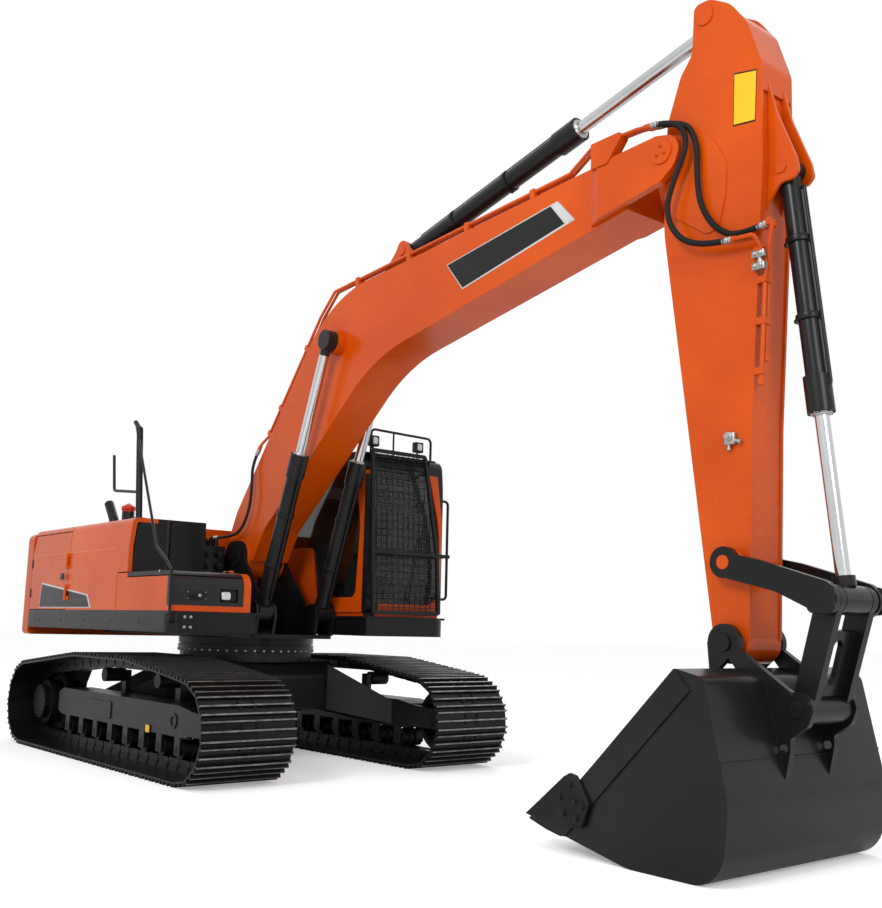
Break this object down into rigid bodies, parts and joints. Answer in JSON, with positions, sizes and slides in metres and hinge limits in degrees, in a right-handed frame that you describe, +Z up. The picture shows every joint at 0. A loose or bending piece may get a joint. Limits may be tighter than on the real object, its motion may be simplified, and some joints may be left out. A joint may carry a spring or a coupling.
{
  "type": "crawler excavator",
  "caption": "Crawler excavator with a slewing upper body, cab, box-section boom and arm, working cylinders and a toothed digging bucket.",
  "frame": {"origin": "on the ground, on the slew axis", "axes": "+X to the machine's front, +Y to its left, +Z up"},
  "size_m": [9.12, 3, 5.1069],
  "materials": {
    "orange_paint": "semi-gloss orange paint",
    "cab_paint": "satin black paint",
    "weight_paint": "semi-gloss orange paint on the cast weight",
    "dark_paint": "satin dark grey paint",
    "machinery_black": "satin black paint",
    "track_steel": "dull rolled steel",
    "bare_steel": "machined steel, greased",
    "tooth_steel": "cast steel, dark",
    "chrome": "polished hard chrome",
    "hose_rubber": "matt black hose cover",
    "lamp": "clear lamp glass on a black holder",
    "glass": "clear tinted safety glass",
    "seat_cloth": "dark woven cloth"
  },
  "bodies": {
    "undercarriage": {"track_left": "track_steel", "track_right": "track_steel", "track_frame_left": "dark_paint", "track_frame_right": "dark_paint", "idler_left": "dark_paint", "idler_right": "dark_paint", "sprocket_left": "dark_paint", "sprocket_right": "dark_paint", "track_rollers_left": "dark_paint", "track_rollers_right": "dark_paint", "carrier_rollers": "dark_paint", "car_body": "dark_paint", "slew_ring": "bare_steel"},
    "upper": {"revolving_frame": "machinery_black", "counterweight": "weight_paint", "top_deck": "orange_paint", "engine_block": "machinery_black", "fuel_tank": "machinery_black", "right_front_panel": "orange_paint", "left_front_panel": "orange_paint", "filler_cap": "machinery_black", "tool_box": "orange_paint", "cab_shell": "cab_paint", "cab_glass": "glass", "seat": "seat_cloth", "front_guard": "machinery_black", "light_rail": "machinery_black", "handrails": "machinery_black", "exhaust_stack": "machinery_black", "control_valve": "machinery_black", "work_lamp": "lamp", "cab_grab_rail": "machinery_black", "foot_hose": "hose_rubber"},
    "boom": {"boom": "orange_paint", "boom_pipes": "orange_paint", "tip_hose_a": "hose_rubber", "tip_hose_b": "hose_rubber"},
    "arm": {"arm": "orange_paint", "arm_pipes": "orange_paint"},
    "bucket": {"bucket": "machinery_black", "bucket_teeth": "tooth_steel"},
    "boom_barrels": {"boom_cylinder_barrels": "machinery_black"},
    "boom_rods": {"boom_cylinder_rods": "chrome"},
    "arm_barrel": {"arm_cylinder_barrel": "machinery_black"},
    "arm_rod": {"arm_cylinder_rod": "chrome"},
    "bucket_barrel": {"bucket_cylinder_barrel": "machinery_black"},
    "bucket_rod": {"bucket_cylinder_rod": "chrome"},
    "rocker": {"rocker_links": "machinery_black"},
    "link": {"bucket_link": "machinery_black"},
    "cab_door": {"cab_door": "orange_paint", "door_glass": "glass"},
    "engine_lid": {"engine_hood": "orange_paint"},
    "right_door": {"right_side_door": "orange_paint"},
    "left_door": {"left_side_door": "orange_paint"},
    "box_lid": {"tool_box_lid": "dark_paint"}
  },
  "joints": [
    {"name": "slew", "type": "hinge", "parent": "undercarriage", "child": "upper", "pos_m": [0, 0, 1.095], "axis": [0, 0, 1], "continuous": true},
    {"name": "boom_lift", "type": "hinge", "parent": "upper", "child": "boom", "pos_m": [0.12, 0, 1.83], "axis": [0, -1, 0], "range_deg": [-65, 36]},
    {"name": "arm_swing", "type": "hinge", "parent": "boom", "child": "arm", "pos_m": [5.285, 0, 4.18], "axis": [0, 1, 0], "range_deg": [-78, 28]},
    {"name": "bucket_curl", "type": "hinge", "parent": "arm", "child": "bucket", "pos_m": [5.668, 0, 1.181], "axis": [0, 1, 0], "range_deg": [-84, 60]},
    {"name": "boom_barrel_tilt", "type": "hinge", "parent": "upper", "child": "boom_barrels", "pos_m": [0.795, 0, 1.33], "axis": [0, -1, 0], "range_deg": [-65, 36.2]},
    {"name": "boom_rod_stroke", "type": "slide", "parent": "boom_barrels", "child": "boom_rods", "axis": [0.3599, 0, 0.933], "range_m": [-0.852, 0.472]},
    {"name": "arm_barrel_tilt", "type": "hinge", "parent": "boom", "child": "arm_barrel", "pos_m": [2.45, 0, 4.31], "axis": [0, -1, 0], "range_deg": [-2, 3.5]},
    {"name": "arm_rod_stroke", "type": "slide", "parent": "arm_barrel", "child": "arm_rod", "axis": [0.9756, 0, 0.2196], "range_m": [-1.062, 0.383]},
    {"name": "bucket_barrel_tilt", "type": "hinge", "parent": "arm", "child": "bucket_barrel", "pos_m": [6.02, 0, 3.89], "axis": [0, -1, 0], "range_deg": [-5, 6]},
    {"name": "bucket_rod_stroke", "type": "slide", "parent": "bucket_barrel", "child": "bucket_rod", "axis": [0.1067, 0, -0.9943], "range_m": [-0.676, 0.484]},
    {"name": "rocker_swing", "type": "hinge", "parent": "arm", "child": "rocker", "pos_m": [5.68, 0, 1.625], "axis": [0, -1, 0], "range_deg": [-52, 72]},
    {"name": "link_swing", "type": "hinge", "parent": "bucket", "child": "link", "pos_m": [6.116, 0, 0.85], "axis": [0, -1, 0], "range_deg": [-63, 46]},
    {"name": "cab_door_swing", "type": "hinge", "parent": "upper", "child": "cab_door", "pos_m": [0.326, 1.37, 1.9], "axis": [0, 0, 1], "range_deg": [0, 170]},
    {"name": "engine_lid_lift", "type": "hinge", "parent": "upper", "child": "engine_lid", "pos_m": [-1, 0, 2.143], "axis": [0, 1, 0], "range_deg": [0, 80]},
    {"name": "right_door_swing", "type": "hinge", "parent": "upper", "child": "right_door", "pos_m": [-1.15, -1.37, 1.7], "axis": [0, 0, 1], "range_deg": [0, 110]},
    {"name": "left_door_swing", "type": "hinge", "parent": "upper", "child": "left_door", "pos_m": [-1.15, 1.37, 1.7], "axis": [0, 0, -1], "range_deg": [0, 110]},
    {"name": "box_lid_lift", "type": "hinge", "parent": "upper", "child": "box_lid", "pos_m": [0.7, -0.7, 1.655], "axis": [-1, 0, 0], "range_deg": [0, 80]}
  ],
  "couplings": [
    {"joint": "boom_barrel_tilt", "follows": "boom_lift", "ratio": 0.9939},
    {"joint": "boom_rod_stroke", "follows": "boom_lift", "m_per_rad": 0.7455},
    {"joint": "arm_barrel_tilt", "follows": "arm_swing", "ratio": -0.0337},
    {"joint": "arm_rod_stroke", "follows": "arm_swing", "m_per_rad": 0.7736},
    {"joint": "bucket_barrel_tilt", "follows": "bucket_curl", "ratio": -0.0532},
    {"joint": "bucket_rod_stroke", "follows": "bucket_curl", "m_per_rad": 0.4574},
    {"joint": "rocker_swing", "follows": "bucket_curl", "ratio": -0.8409},
    {"joint": "link_swing", "follows": "bucket_curl", "ratio": 0.7372}
  ]
}
